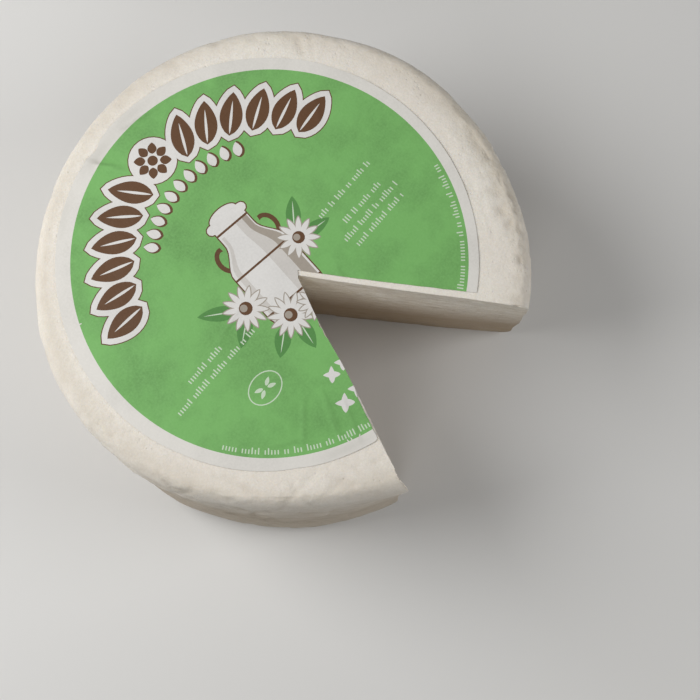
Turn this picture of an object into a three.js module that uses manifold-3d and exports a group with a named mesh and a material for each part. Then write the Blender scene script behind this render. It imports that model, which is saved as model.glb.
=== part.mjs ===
// A moulded round of dried ricotta with one wedge cut out of it, and the paper label on its top.
// Millimetres, +Z up. The origin is where the round's own axis meets its underside, and the cut
// opens towards -Y.
import * as THREE from "three";
import { mergeVertices } from "three/addons/utils/BufferGeometryUtils.js";
import Module from "manifold-3d";

// The round: a waisted wall between two soft swells, with a rounded top edge and foot.
const HEIGHT = 96;
const FOOT_SWELL_RADIUS = 102;
const TOP_SWELL_RADIUS = 99.3;
const WAIST_DEPTH = 2;
const TOP_EDGE = { across: 6.5, high: 12 };
const FOOT_EDGE = { across: 5, high: 9 };

// Hand-made unevenness of the wall: the top sits off the foot's middle by this much, the outline
// has slow lobes, and there are single hollows, or swellings where the depth is negative.
const LEAN = { size: 1.25, angle: 235 };
const LOBES = [
  { waves: 2, size: 0.3, turn: 40 },
  { waves: 5, size: 0.25, turn: 31 },
];
const HOLLOWS = [
  { angle: 92, height: 84, turn: 26, rise: 60, depth: 0.5 },
  { angle: 25, height: 84, turn: 6, rise: 20, depth: 0.8 },
  { angle: -12, height: 76, turn: 7, rise: 18, depth: 0.7 },
  { angle: -26, height: 84, turn: 5, rise: 11, depth: 1.1 },
  { angle: -36, height: 86, turn: 5, rise: 12, depth: 0.4 },
  { angle: -56, height: 70, turn: 9, rise: 26, depth: -0.8 },
  { angle: 246, height: 88, turn: 7, rise: 16, depth: -1.7 },
  { angle: 233, height: 8, turn: 6, rise: 10, depth: 0.7 },
  { angle: 190, height: 16, turn: 10, rise: 22, depth: -0.9 },
  { angle: 205, height: 70, turn: 9, rise: 20, depth: 0.6 },
  { angle: 58, height: 50, turn: 12, rise: 18, depth: 0.7 },
  { angle: 158, height: 30, turn: 10, rise: 15, depth: 0.6 },
];

// The missing wedge. side is +1 for the cut on the +X side and -1 for the other one, and each cut
// runs out from the apex at its own angle to -Y.
const CUT_APEX = new THREE.Vector2(-0.2, -8.4);
const CUT_ANGLE = { 1: THREE.MathUtils.degToRad(29), "-1": THREE.MathUtils.degToRad(25.8) };
// How far the foot of each cut lies further into the round than its top, at the apex and per
// millimetre out from it: the knife leant over as it went.
const UNDERCUT = { 1: { apex: 2.3, growth: 0.057 }, "-1": { apex: 2, growth: -0.01 } };
const KNIFE_WAVE = { size: 0.25, along: 17, down: 29 };
// Near the apex the cut on the -X side bows into the cheese: how far, and where.
const BOW = { size: 1, along: 22, spread: 15 };
// The top outer corner of the cut on the -X side was pushed out by the knife: how far, between
// which distances out from the apex it grows, and between which heights.
const FLARE = { size: 2.3, along: [88, 99], height: [40, 84] };
const CUT_REACH = 130;
const CUT_OVERSHOOT = 2;

// The label: a round of paper, a little off the axis, cut with the cheese and drawn back from
// the cuts by these distances.
const LABEL_CENTRE = new THREE.Vector2(-2.3, 5);
const LABEL_RADIUS = 83.2;
const LABEL_THICKNESS = 0.3;
const LABEL_SETBACK = { 1: 2.5, "-1": 0.4 };

// How finely the surfaces are divided.
const TURN_STEPS = 120;
const WALL_STEPS = 14;
const EDGE_STEPS = 5;
const TOP_RINGS = 3;
const CUT_STEPS = { along: 20, down: 8 };

const RIND = new THREE.MeshStandardMaterial({ color: 0xded7cb, roughness: 0.85, metalness: 0 });
const PRINTED_PAPER = new THREE.MeshStandardMaterial({
  color: 0x70b264,
  roughness: 0.6,
  metalness: 0,
});

const wasm = await Module();
wasm.setup();

// A closed geometry as a manifold-3d solid.
function toSolid(geometry) {
  const bare = geometry.clone();
  bare.deleteAttribute("normal");
  bare.deleteAttribute("uv");
  const merged = mergeVertices(bare, 1e-3);
  return new wasm.Manifold(
    new wasm.Mesh({
      numProp: 3,
      vertProperties: new Float32Array(merged.attributes.position.array),
      triVerts: new Uint32Array(merged.index.array),
    }),
  );
}

// A manifold-3d solid as a geometry with flat faces.
function toGeometry(solid) {
  const mesh = solid.getMesh();
  const geometry = new THREE.BufferGeometry();
  geometry.setAttribute("position", new THREE.BufferAttribute(mesh.vertProperties, 3));
  geometry.setIndex(new THREE.BufferAttribute(mesh.triVerts, 1));
  const flat = geometry.toNonIndexed();
  flat.computeVertexNormals();
  return flat;
}

// Moves every vertex of a geometry to where place() says.
function moveVertices(geometry, place) {
  const positions = geometry.attributes.position;
  const point = new THREE.Vector3();
  for (let i = 0; i < positions.count; i += 1) {
    point.fromBufferAttribute(positions, i);
    place(point);
    positions.setXYZ(i, point.x, point.y, point.z);
  }
  return geometry;
}

// The wall's radius between the foot's rounding (share 0) and the top edge's (share 1).
function wallRadius(share) {
  const waist = WAIST_DEPTH * Math.sin(Math.PI * share) ** 2;
  const slope = THREE.MathUtils.smoothstep(share, 0, 1);
  return THREE.MathUtils.lerp(FOOT_SWELL_RADIUS, TOP_SWELL_RADIUS, slope) - waist;
}

// Half of the round's upright section, from the axis at the foot to the axis at the top.
function roundProfile() {
  const points = [new THREE.Vector2(0, 0)];
  const footFlat = FOOT_SWELL_RADIUS - FOOT_EDGE.across;
  const topFlat = TOP_SWELL_RADIUS - TOP_EDGE.across;
  const wallFoot = FOOT_EDGE.high;
  const wallTop = HEIGHT - TOP_EDGE.high;
  for (let i = 0; i < EDGE_STEPS; i += 1) {
    const turn = (i / EDGE_STEPS) * (Math.PI / 2);
    const radius = footFlat + FOOT_EDGE.across * Math.sin(turn);
    points.push(new THREE.Vector2(radius, wallFoot * (1 - Math.cos(turn))));
  }
  for (let i = 0; i < WALL_STEPS; i += 1) {
    const share = i / WALL_STEPS;
    points.push(
      new THREE.Vector2(wallRadius(share), THREE.MathUtils.lerp(wallFoot, wallTop, share)),
    );
  }
  for (let i = 0; i <= EDGE_STEPS; i += 1) {
    const turn = (i / EDGE_STEPS) * (Math.PI / 2);
    const radius = topFlat + TOP_EDGE.across * Math.cos(turn);
    points.push(new THREE.Vector2(radius, wallTop + TOP_EDGE.high * Math.sin(turn)));
  }
  for (let i = TOP_RINGS - 1; i >= 0; i -= 1) {
    points.push(new THREE.Vector2((topFlat * i) / TOP_RINGS, HEIGHT));
  }
  return points;
}

// How far the wall stands out of its plain profile at this angle, in degrees, and height.
function unevenness(angle, height) {
  const leant = Math.cos(THREE.MathUtils.degToRad(angle - LEAN.angle));
  let out = LEAN.size * leant * (height / HEIGHT);
  for (const { waves, size, turn } of LOBES) {
    out += size * Math.cos(waves * THREE.MathUtils.degToRad(angle - turn));
  }
  for (const hollow of HOLLOWS) {
    const away = THREE.MathUtils.euclideanModulo(angle - hollow.angle + 180, 360) - 180;
    const spread = (away / hollow.turn) ** 2 + ((height - hollow.height) / hollow.rise) ** 2;
    out -= hollow.depth * Math.exp(-spread);
  }
  return out;
}

// The whole round before it was cut.
function wholeRound() {
  const geometry = new THREE.LatheGeometry(roundProfile(), TURN_STEPS);
  geometry.rotateX(Math.PI / 2);
  return moveVertices(geometry, (point) => {
    const radius = Math.hypot(point.x, point.y);
    const angle = THREE.MathUtils.radToDeg(Math.atan2(point.y, point.x));
    const share = THREE.MathUtils.smoothstep(radius, LABEL_RADIUS, TOP_SWELL_RADIUS);
    const grown = radius > 0 ? 1 + (share * unevenness(angle, point.z)) / radius : 1;
    point.x *= grown;
    point.y *= grown;
  });
}

// The way a cut runs out from the apex, and the way that leads from it into the cheese.
function cutDirection(side) {
  return new THREE.Vector2(side * Math.sin(CUT_ANGLE[side]), -Math.cos(CUT_ANGLE[side]));
}

function intoCheese(side) {
  return new THREE.Vector2(side * Math.cos(CUT_ANGLE[side]), Math.sin(CUT_ANGLE[side]));
}

// Where the apex goes when the two cuts move into the cheese by these distances.
function movedApex(plusSide, minusSide) {
  return new THREE.Vector2(
    plusSide * Math.sin(CUT_ANGLE[-1]) - minusSide * Math.sin(CUT_ANGLE[1]),
    plusSide * Math.cos(CUT_ANGLE[-1]) + minusSide * Math.cos(CUT_ANGLE[1]),
  )
    .divideScalar(Math.sin(CUT_ANGLE[1] + CUT_ANGLE[-1]))
    .add(CUT_APEX);
}

// How far the pushed out corner stands into the gap.
function cornerFlare(along, height) {
  const outward = THREE.MathUtils.smoothstep(along, ...FLARE.along);
  const upward = THREE.MathUtils.smoothstep(height, ...FLARE.height);
  return FLARE.size * outward * upward;
}

// How far a cut lies further into the cheese than its straight top line.
function cutOffset(side, along, height) {
  const below = 1 - height / HEIGHT;
  const lean = UNDERCUT[side].apex + UNDERCUT[side].growth * along;
  const wave = Math.sin(along / KNIFE_WAVE.along + (side * height) / KNIFE_WAVE.down);
  const even = lean * below + KNIFE_WAVE.size * wave;
  if (side > 0) {
    return even;
  }
  const bow = BOW.size * Math.exp(-(((along - BOW.along) / BOW.spread) ** 2));
  return even + bow - cornerFlare(along, height);
}

// The wedge that the knife took out, a little taller and longer than the round, and wider than
// it was by these distances on its two sides.
function missingWedge(wider) {
  const outline = new THREE.Shape();
  outline.moveTo(0, 0);
  for (const side of [-1, 1]) {
    for (let i = 1; i <= CUT_STEPS.along; i += 1) {
      const step = side < 0 ? i : CUT_STEPS.along + 1 - i;
      const point = cutDirection(side).multiplyScalar((CUT_REACH * step) / CUT_STEPS.along);
      outline.lineTo(point.x, point.y);
    }
  }
  outline.closePath();
  const geometry = new THREE.ExtrudeGeometry(outline, {
    depth: HEIGHT + 2 * CUT_OVERSHOOT,
    steps: CUT_STEPS.down,
    bevelEnabled: false,
  });
  geometry.translate(0, 0, -CUT_OVERSHOOT);
  return moveVertices(geometry, (point) => {
    const side = point.x < 0 ? -1 : 1;
    const along = Math.hypot(point.x, point.y);
    const apex = movedApex(
      cutOffset(1, 0, point.z) + wider[1],
      cutOffset(-1, 0, point.z) + wider[-1],
    );
    const extra = cutOffset(side, along, point.z) - cutOffset(side, 0, point.z);
    const moved = intoCheese(side).multiplyScalar(extra).add(apex);
    point.x += moved.x;
    point.y += moved.y;
  });
}

// The round as it stands, cut.
function ricottaRound() {
  const cut = toSolid(wholeRound()).subtract(toSolid(missingWedge({ 1: 0, "-1": 0 })));
  const mesh = new THREE.Mesh(toGeometry(cut), RIND);
  mesh.name = "ricotta_round";
  return mesh;
}

// The paper label, flat on the top.
function paperLabel() {
  const disc = new THREE.CylinderGeometry(LABEL_RADIUS, LABEL_RADIUS, LABEL_THICKNESS, TURN_STEPS);
  disc.rotateX(Math.PI / 2);
  disc.translate(LABEL_CENTRE.x, LABEL_CENTRE.y, HEIGHT + LABEL_THICKNESS / 2);
  const cut = toSolid(disc).subtract(toSolid(missingWedge(LABEL_SETBACK)));
  const mesh = new THREE.Mesh(toGeometry(cut), PRINTED_PAPER);
  mesh.name = "paper_label";
  return mesh;
}

const cheese = new THREE.Group();
cheese.add(ricottaRound(), paperLabel());

export default cheese;
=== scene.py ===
"""A round of dried ricotta with a wedge cut out of it and a printed paper label on its top.

Sizes are in millimetres and angles in degrees until a mesh is made, which is in metres. The
round's axis is the Z axis, its foot is at z = 0 and the missing wedge opens towards -Y. A side
of +1 is the cut on the +X side, and -1 the other one.
"""

import math
import random

import bmesh
import bpy
import numpy as np
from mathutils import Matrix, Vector, noise
from mathutils.geometry import delaunay_2d_cdt
from mathutils.kdtree import KDTree


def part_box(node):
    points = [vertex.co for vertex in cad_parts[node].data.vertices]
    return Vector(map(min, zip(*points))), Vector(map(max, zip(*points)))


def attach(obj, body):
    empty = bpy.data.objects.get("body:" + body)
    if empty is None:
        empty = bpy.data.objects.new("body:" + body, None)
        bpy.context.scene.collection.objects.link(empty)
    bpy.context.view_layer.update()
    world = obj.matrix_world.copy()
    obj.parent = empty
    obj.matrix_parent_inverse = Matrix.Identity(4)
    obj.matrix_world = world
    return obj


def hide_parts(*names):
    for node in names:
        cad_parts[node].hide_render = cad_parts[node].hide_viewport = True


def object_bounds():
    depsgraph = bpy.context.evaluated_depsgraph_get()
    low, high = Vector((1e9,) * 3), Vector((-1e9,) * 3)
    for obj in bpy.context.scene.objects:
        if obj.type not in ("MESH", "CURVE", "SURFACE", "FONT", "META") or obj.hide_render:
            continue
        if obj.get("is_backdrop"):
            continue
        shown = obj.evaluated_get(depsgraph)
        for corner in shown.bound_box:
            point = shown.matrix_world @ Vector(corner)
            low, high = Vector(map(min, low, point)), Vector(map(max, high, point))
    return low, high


MM = 0.001

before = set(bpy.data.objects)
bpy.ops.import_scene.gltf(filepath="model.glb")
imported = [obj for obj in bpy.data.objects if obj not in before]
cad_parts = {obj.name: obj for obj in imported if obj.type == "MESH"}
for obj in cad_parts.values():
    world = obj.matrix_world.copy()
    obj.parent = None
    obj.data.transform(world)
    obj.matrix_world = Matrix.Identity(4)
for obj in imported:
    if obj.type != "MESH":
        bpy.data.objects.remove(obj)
cad_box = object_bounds()
_, round_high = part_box("ricotta_round")
label_low, label_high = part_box("paper_label")

# The round, as the frame has it.
HEIGHT = round_high.z / MM
FOOT_SWELL_RADIUS = 102
TOP_SWELL_RADIUS = 99.3
WAIST_DEPTH = 2
TOP_EDGE_ACROSS, TOP_EDGE_HIGH = 6.5, 12
WALL_TOP = HEIGHT - TOP_EDGE_HIGH
FOOT_EDGE_ACROSS, FOOT_EDGE_HIGH = 5, 9
LEAN_SIZE, LEAN_ANGLE = 1.25, 235
# Slow waves round the wall: how many, size, turn.
LOBES = [(2, 0.3, 40), (5, 0.25, 31)]
# Hollows of the wall, and fuller places with a depth below 0: angle, height, half width in
# degrees, half height, depth.
HOLLOWS = [
    (92, 84, 26, 60, 0.5), (25, 84, 6, 20, 0.8), (-12, 76, 7, 18, 0.7), (-26, 84, 5, 11, 1.1),
    (-36, 86, 5, 12, 0.4), (-56, 70, 9, 26, -0.8), (246, 88, 7, 16, -1.7), (233, 8, 6, 10, 0.7),
    (190, 16, 10, 22, -0.9), (205, 70, 9, 20, 0.6), (58, 50, 12, 18, 0.7), (158, 30, 10, 15, 0.6),
    (-62, 94, 7, 4, -0.9), (-62, 46, 9, 22, -2.9), (220, 88, 27, 22, 4.1), (251, 86, 6, 16, -1.3),
    (248, 60, 9, 18, -1.2), (220, 54, 32, 19, -1.7), (45, 96, 58, 5, -1.5), (1, 88, 15, 14, -1.4),
    (-23, 87, 9, 16, -0.8), (-43, 90, 7, 8, -0.5), (74, 92, 12, 8, -0.8), (147, 90, 14, 12, -1.2),
    (176, 88, 6, 8, 0.4),
]

# The missing wedge.
CUT_APEX = np.array([-0.2, -8.4])
CUT_ANGLE = {1: math.radians(29), -1: math.radians(25.8)}
UNDERCUT_APEX = {1: 2.3, -1: 2}
UNDERCUT_GROWTH = {1: 0.057, -1: -0.01}
KNIFE_WAVE_SIZE, KNIFE_WAVE_ALONG, KNIFE_WAVE_DOWN = 0.25, 17, 29
BOW_SIZE, BOW_ALONG, BOW_SPREAD = 1, 22, 15
FLARE_SIZE, FLARE_ALONG, FLARE_HEIGHT = 2.3, (88, 99), (40, 84)

# The label and the green field of its print.
LABEL_RADIUS = (label_high.x - label_low.x) / 2 / MM
LABEL_CENTRE = np.array([(label_high.x + label_low.x) / 2 / MM, label_high.y / MM - LABEL_RADIUS])
LABEL_SETBACK, LABEL_SETBACK_GROWTH = 1.95, 0.0145
LABEL_NICKS = (22, 26)
CUT_EDGE_SPACING, CORNER_CLEARANCE = 1.4, 0.3
PAPER_THICKNESS = 0.14
PRINT_CENTRE = np.array([-1.72, 4.22])
PRINT_RADIUS = 78.2
PRINT_TURN = -3

# How finely the round's surface is divided, and how far the rows along its sharp edges lie in.
WALL_SPACING = 1.05
FINE_SPACING = 1.15
CUT_SPACING = 0.95
APEX_SPACING = 1.3
FOOT_SPACING = 2.6
COVERED_SPACING = 4
EDGE_ROWS = np.cumsum([0.45, 0.7])
LEVEL_CLEARANCE, CUT_CLEARANCE, RIM_CLEARANCE, APEX_CLEARANCE = 0.4, 0.5, 0.7, 0.8
FINE_BY_LABEL, FINE_BY_CUT = 3, 5
# A rounded edge's length, as a share of its diagonal.
EDGE_ARC = 8 / 7
WELD = 0.02
SIDES = (1, -1)
RIND, PASTE = 0, 1


def lerp(low, high, share):
    return low + (high - low) * share


def smoothstep(value, low, high):
    share = np.clip((value - low) / (high - low), 0, 1)
    return share * share * (3 - 2 * share)


def bump(value, width):
    """1 where the value is 0, falling softly to nothing over a few widths."""
    return np.exp(-((value / width) ** 2))


def window(angle, middle, width):
    """1 at the middle angle, falling softly to nothing over a few widths."""
    return bump((angle - middle + 180) % 360 - 180, width)


def heading(way):
    """The angle of a step, or of each of many."""
    way = np.asarray(way)
    return np.degrees(np.arctan2(way[..., 1], way[..., 0]))


def added(name, data):
    """A new object in the scene."""
    piece = bpy.data.objects.new(name, data)
    bpy.context.collection.objects.link(piece)
    return piece


# ---- the form of the round


def plain_radius(height):
    """The side's radius without its unevenness."""
    share = np.clip((height - FOOT_EDGE_HIGH) / (WALL_TOP - FOOT_EDGE_HIGH), 0, 1)
    drop = np.clip(1 - height / FOOT_EDGE_HIGH, 0, 1)
    lift = np.clip((height - WALL_TOP) / TOP_EDGE_HIGH, 0, 1)
    wall = lerp(FOOT_SWELL_RADIUS, TOP_SWELL_RADIUS, smoothstep(share, 0, 1))
    waist = WAIST_DEPTH * np.sin(np.pi * share) ** 2
    foot_edge = FOOT_EDGE_ACROSS * (1 - np.sqrt(1 - drop**2))
    top_edge = TOP_EDGE_ACROSS * (1 - np.sqrt(1 - lift**2))
    return wall - waist - foot_edge - top_edge


def edge_turns(across, high):
    """Turns from 0 to a right angle that cross a rounded edge in steps like the wall's."""
    steps = round(EDGE_ARC * math.hypot(across, high) / WALL_SPACING)
    return np.linspace(0, np.pi / 2, steps + 1)


def profile():
    """Radius and height down the side, from the flat foot to the flat top."""
    steps = round((WALL_TOP - FOOT_EDGE_HIGH) / WALL_SPACING)
    foot = FOOT_EDGE_HIGH * (1 - np.cos(edge_turns(FOOT_EDGE_ACROSS, FOOT_EDGE_HIGH)))
    wall = np.linspace(FOOT_EDGE_HIGH, WALL_TOP, steps, endpoint=False)
    top = WALL_TOP + TOP_EDGE_HIGH * np.sin(edge_turns(TOP_EDGE_ACROSS, TOP_EDGE_HIGH))
    heights = np.concatenate([foot[:-1], wall, top])
    return plain_radius(heights), heights


def unevenness(angle, height):
    """How far the wall stands out of its plain profile."""
    out = LEAN_SIZE * np.cos(np.radians(angle - LEAN_ANGLE)) * height / HEIGHT
    for waves, size, turn in LOBES:
        out = out + size * np.cos(np.radians(waves * (angle - turn)))
    for middle, level, turn, rise, depth in HOLLOWS:
        out = out - depth * window(angle, middle, turn) * bump(height - level, rise)
    return out


def outline_radius(radius, angle, height):
    return radius + smoothstep(radius, LABEL_RADIUS, TOP_SWELL_RADIUS) * unevenness(angle, height)


def cut_direction(side):
    return np.array([side * math.sin(CUT_ANGLE[side]), -math.cos(CUT_ANGLE[side])])


def into_cheese(side):
    return np.array([side * math.cos(CUT_ANGLE[side]), math.sin(CUT_ANGLE[side])])


def cut_offset(side, along, height):
    """How far a cut lies inside the plain, upright one."""
    lean = UNDERCUT_APEX[side] + UNDERCUT_GROWTH[side] * along
    wave = np.sin(along / KNIFE_WAVE_ALONG + side * height / KNIFE_WAVE_DOWN)
    even = lean * (1 - height / HEIGHT) + KNIFE_WAVE_SIZE * wave
    if side > 0:
        return even
    bow = BOW_SIZE * bump(along - BOW_ALONG, BOW_SPREAD)
    flare = FLARE_SIZE * smoothstep(along, *FLARE_ALONG) * smoothstep(height, *FLARE_HEIGHT)
    return even + bow - flare


def cut_apex(height):
    """Where the two cuts meet."""
    plus, minus = cut_offset(1, 0, height), cut_offset(-1, 0, height)
    across = plus * math.sin(CUT_ANGLE[-1]) - minus * math.sin(CUT_ANGLE[1])
    up = plus * math.cos(CUT_ANGLE[-1]) + minus * math.cos(CUT_ANGLE[1])
    return CUT_APEX + np.stack([across, up], axis=-1) / math.sin(CUT_ANGLE[1] + CUT_ANGLE[-1])


def cut_point(side, along, height, deep=0.0):
    """The place on a cut this far out from the apex, or deep inside the cheese behind it."""
    along, height = np.broadcast_arrays(along, height)
    extra = cut_offset(side, along, height) - cut_offset(side, 0, height) + deep
    out, aside = along[..., None] * cut_direction(side), extra[..., None] * into_cheese(side)
    return cut_apex(height) + out + aside


def wedge_gap(x, y, height):
    """How far a place lies from the missing wedge, the nearer cut's side, and how far out."""
    away = np.array([x, y]) - cut_apex(height)
    found = []
    for side in SIDES:
        along = float(away @ cut_direction(side))
        shift = cut_offset(side, along, height) - cut_offset(side, 0, height)
        gap = float(away @ into_cheese(side)) - shift
        if along < 0:
            gap = max(gap, float(np.hypot(*away)))
        found.append((gap, side, along))
    return max(found)


def cut_reach(side, radii, heights):
    """How far out from the apex each cut meets the wall, at every height of the profile."""
    along = np.full(len(heights), TOP_SWELL_RADIUS)
    for _ in range(12):
        place = cut_point(side, along, heights)
        along = along + outline_radius(radii, heading(place), heights) - np.hypot(*place.T)
    return along


# ---- patches of the surface


def stations(length, spacing):
    """Distances along an edge, evenly spaced but for the closer rows at both its ends."""
    *near, last = EDGE_ROWS
    steps = max(2, round((length - 2 * last) / spacing))
    inner = np.linspace(last, length - last, steps + 1)
    return np.array([0, *near, *inner, *(length - deep for deep in near[::-1]), length])


def triangulated(outline, inside, edges=()):
    """Triangles that fill a closed outline through the points inside it."""
    count = len(outline)
    points = [Vector((float(x), float(y))) for x, y in [*outline, *inside]]
    rim = [(i, (i + 1) % count) for i in range(count)]
    found, _, faces, *_ = delaunay_2d_cdt(points, [*rim, *edges], [], 1, WELD / 2)
    return np.array([tuple(point) for point in found]), faces


def hexagonal(low, high, spacing):
    """Points of an even triangular grid that covers a rectangle."""
    points = []
    step = spacing * math.sqrt(0.75)
    for row in range(math.ceil((high[1] - low[1]) / step) + 1):
        xs = np.arange(low[0] + (row % 2) * spacing / 2, high[0], spacing)
        points.extend((float(x), low[1] + row * step) for x in xs)
    return points


class Skin:
    """A closed surface, gathered from patches that share the points of their edges."""

    def __init__(self):
        self.points, self.faces, self.stuffs = [], [], []

    def add(self, points, faces, stuff):
        first = len(self.points)
        self.points += points
        self.faces += [tuple(first + i for i in face) for face in faces]
        self.stuffs += [stuff] * len(faces)

    def closed_mesh(self, name):
        mesh = bpy.data.meshes.new(name)
        mesh.from_pydata(self.points, [], self.faces)
        mesh.polygons.foreach_set("material_index", self.stuffs)
        form = bmesh.new()
        form.from_mesh(mesh)
        bmesh.ops.remove_doubles(form, verts=form.verts, dist=WELD)
        bmesh.ops.recalc_face_normals(form, faces=form.faces)
        form.to_mesh(mesh)
        form.free()
        return mesh


def wall_patch(skin, radii, heights, reach):
    """The side, swept from one cut to the other. Gives back its lowest and highest rows."""
    ends = {side: heading(cut_point(side, reach[side], heights)) for side in SIDES}
    ends[-1] = ends[-1] % 360
    length = math.radians(float(np.mean(ends[-1] - ends[1]))) * TOP_SWELL_RADIUS
    shares = stations(length, WALL_SPACING) / length
    angle = lerp(ends[1], ends[-1], shares[:, None])
    radius = outline_radius(radii, angle, heights)
    turn = np.radians(angle)
    upright = np.broadcast_to(heights, radius.shape)
    grid = np.stack([radius * np.cos(turn), radius * np.sin(turn), upright], axis=-1)
    across, rows = radius.shape
    corners = (i * rows + j for i in range(across - 1) for j in range(rows - 1))
    faces = [(corner, corner + rows, corner + rows + 1, corner + 1) for corner in corners]
    skin.add(grid.reshape(-1, 3).tolist(), faces, RIND)
    return grid[:, 0, :2], grid[:, -1, :2]


def level_patch(skin, rim, height, edge, spacings):
    """The flat top or foot, between the wall's row and the two cuts' edges.

    The spacings are the one inside and the one by the rim and the cuts.
    """
    out = cut_point(1, edge[1][:-1], height)
    back = cut_point(-1, edge[-1][-2:0:-1], height)
    outline = [*out, *rim, *back]
    inside = []
    for side in SIDES:
        for deep in EDGE_ROWS:
            inside.extend(cut_point(side, edge[side][2:-2], height, deep))
    rim_angle, rim_radius = heading(rim), np.hypot(*rim.T)
    keep_off = EDGE_ROWS[-1] + LEVEL_CLEARANCE
    for spacing in sorted(set(spacings)):
        for x, y in hexagonal((-100, -100), (100, 100), spacing):
            radius = math.hypot(x, y)
            limit = np.interp(heading((x, y)), rim_angle, rim_radius, period=360)
            gap = wedge_gap(x, y, height)[0]
            if radius > limit - RIM_CLEARANCE or gap < keep_off:
                continue
            outside = radius > LABEL_RADIUS - FINE_BY_LABEL or gap < FINE_BY_CUT
            if spacing == spacings[1 if outside else 0]:
                inside.append((x, y))
    points, faces = triangulated(outline, inside)
    skin.add([(x, y, height) for x, y in points], faces, RIND)


def cut_patch(skin, side, heights, reach, apex_heights, edge):
    """One of the knife's two faces, laid out by the way out from the apex and the height."""
    foot, top = edge
    outline = [(along, 0) for along in foot[:-1]]
    outline += list(zip(reach, heights))
    outline += [(along, HEIGHT) for along in top[-2:0:-1]]
    outline += [(0, height) for height in apex_heights[:0:-1]]
    inside = []
    for deep in EDGE_ROWS:
        inside += [(along, deep) for along in foot[2:-3]]
        inside += [(along, HEIGHT - deep) for along in top[2:-3]]
        middle = [(far - deep, height) for far, height in zip(reach, heights)]
        inside += [place for place in middle if deep + 1 < place[1] < HEIGHT - deep - 1]
    keep_off = EDGE_ROWS[-1] + CUT_CLEARANCE
    for along, height in hexagonal((0, 0), (max(reach), HEIGHT), CUT_SPACING):
        limit = np.interp(height, heights, reach) - keep_off
        if APEX_CLEARANCE <= along <= limit and keep_off < height < HEIGHT - keep_off:
            inside.append((along, height))
    points, faces = triangulated(outline, inside)
    places = cut_point(side, points[:, 0], points[:, 1])
    skin.add(np.column_stack([places, points[:, 1]]).tolist(), faces, PASTE)


def round_skin():
    """The smooth form of the cut round, before its relief."""
    skin = Skin()
    radii, heights = profile()
    reach = {side: cut_reach(side, radii, heights) for side in SIDES}
    foot_rim, top_rim = wall_patch(skin, radii, heights, reach)
    foot_edge = {side: stations(reach[side][0], CUT_SPACING) for side in SIDES}
    top_edge = {side: stations(reach[side][-1], CUT_SPACING) for side in SIDES}
    level_patch(skin, top_rim, HEIGHT, top_edge, (COVERED_SPACING, FINE_SPACING))
    level_patch(skin, foot_rim, 0, foot_edge, (FOOT_SPACING, FOOT_SPACING))
    apex_heights = stations(HEIGHT, APEX_SPACING)
    for side in SIDES:
        edges = (foot_edge[side], top_edge[side])
        cut_patch(skin, side, heights, reach[side], apex_heights, edges)
    return skin


# ---- relief


def compass(angle):
    """A step of 1 in this direction; 90 degrees is straight up."""
    return np.array([math.cos(math.radians(angle)), math.sin(math.radians(angle))])


def polar(radius, angle):
    return radius * compass(angle)


def around_label(place):
    """Distance and angle from the label's centre."""
    away = np.asarray(place) - LABEL_CENTRE
    return float(np.hypot(*away)), float(heading(away))


def swell(place, size, seed):
    """Soft noise between about -1 and 1 whose humps are this many millimetres wide."""
    return noise.noise(place / size + Vector((seed, 2 * seed, 3 * seed)))


def ridges(place, size, seed):
    """0 over most of the surface, rising to 1 along thin wandering lines."""
    return (1 - min(1, abs(swell(place, size, seed)) * 3)) ** 3


def dimple(place, size, depth, seed, share):
    """A round dent in this share of the cells of a scattered pattern."""
    distances, centres = noise.voronoi(place / size + Vector((seed, seed, seed)))
    chance = noise.cell(centres[0] * 7.3 + Vector((seed, 0, 0))) * 0.5 + 0.5
    if chance > share:
        return 0.0
    width = 0.22 + 0.2 * chance / share
    return -depth * (0.4 + 0.6 * chance / share) * math.exp(-((distances[0] / width) ** 2))


def stroke(x, y, start, end, width):
    """1 along a line seen from above, falling softly to nothing beside it and past its ends."""
    way_x, way_y = end[0] - start[0], end[1] - start[1]
    length = math.hypot(way_x, way_y)
    share = ((x - start[0]) * way_x + (y - start[1]) * way_y) / length**2
    aside = ((y - start[1]) * way_x - (x - start[0]) * way_y) / length
    past = max(0, abs(share - 0.5) - 0.35) / 0.15
    return bump(aside, width) * bump(past, 1)


# Where the wall is creased along: middle angle, half width, height, half height, depth.
CREASED = [
    (214, 30, 50, 40, 1), (188, 16, 83, 9, 1), (-38, 24, 84, 12, 0.6), (70, 60, 48, 34, 0.5),
    (140, 25, 60, 40, 0.4),
]
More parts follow.
